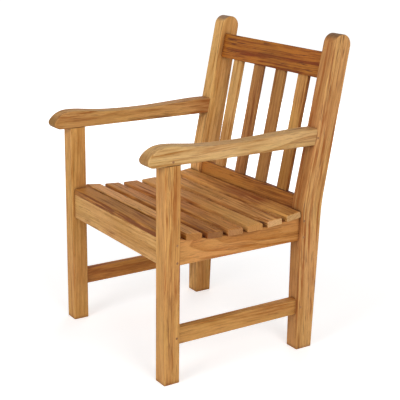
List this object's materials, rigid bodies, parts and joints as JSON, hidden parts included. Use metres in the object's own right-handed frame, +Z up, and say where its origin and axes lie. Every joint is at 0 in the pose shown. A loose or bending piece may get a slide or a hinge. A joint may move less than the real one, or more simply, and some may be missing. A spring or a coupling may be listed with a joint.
{
  "type": "slatted garden armchair",
  "caption": "Upright wooden garden armchair with four square legs, sculpted arms, a raked slatted back and a dished slatted seat, joined by pegged tenons.",
  "frame": {"origin": "on the floor under the middle of the chair's overall box", "axes": "+Z up, the sitter faces -Y and the sitter's left is +X"},
  "size_m": [0.6, 0.669, 0.937],
  "materials": {
    "teak": "lightly oiled, straight grained teak",
    "teak_dark": "lightly oiled teak from darker boards",
    "teak_peg": "end grain of hardwood pegs"
  },
  "bodies": {
    "root": {"front_leg_left": "teak", "front_leg_right": "teak", "rear_post_left": "teak", "rear_post_right": "teak", "arm_left": "teak", "arm_right": "teak", "front_apron": "teak", "rear_seat_rail": "teak", "side_apron_left": "teak", "side_apron_right": "teak", "side_stretcher_left": "teak", "side_stretcher_right": "teak", "centre_seat_bearer": "teak", "bottom_back_rail": "teak_dark", "top_back_rail": "teak_dark", "back_slat_1": "teak", "back_slat_2": "teak", "back_slat_3": "teak", "back_slat_4": "teak", "seat_slat_1": "teak_dark", "seat_slat_2": "teak", "seat_slat_3": "teak_dark", "seat_slat_4": "teak", "seat_slat_5": "teak", "seat_slat_6": "teak", "seat_slat_7": "teak", "arm_pegs": "teak_peg", "front_apron_pegs": "teak_peg", "side_apron_pegs": "teak_peg", "stretcher_pegs": "teak_peg", "back_rail_pegs": "teak_peg", "rear_rail_pegs": "teak_peg", "slat_dowels": "teak_peg"}
  },
  "joints": []
}
